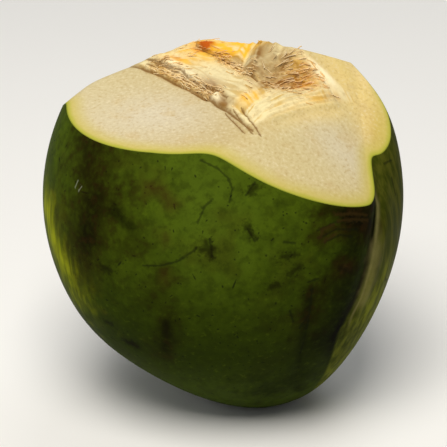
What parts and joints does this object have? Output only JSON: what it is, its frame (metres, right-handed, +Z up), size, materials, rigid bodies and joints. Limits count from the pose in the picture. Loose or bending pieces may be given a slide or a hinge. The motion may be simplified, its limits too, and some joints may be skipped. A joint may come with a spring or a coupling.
{
  "type": "green coconut",
  "caption": "Green coconut standing on its tip end, its stem end trimmed flat by a blade and torn open into a pale fibrous crown.",
  "frame": {"origin": "middle of the small flat spot that the fruit rests on", "axes": "+Z up; -Y towards the broad front with the trimmed face sloping down to its right; +X to the right of that view"},
  "size_m": [0.1655, 0.1681, 0.1723],
  "materials": {
    "husk": "satin"
  },
  "bodies": {
    "root": {"green_coconut": "husk"}
  },
  "joints": []
}
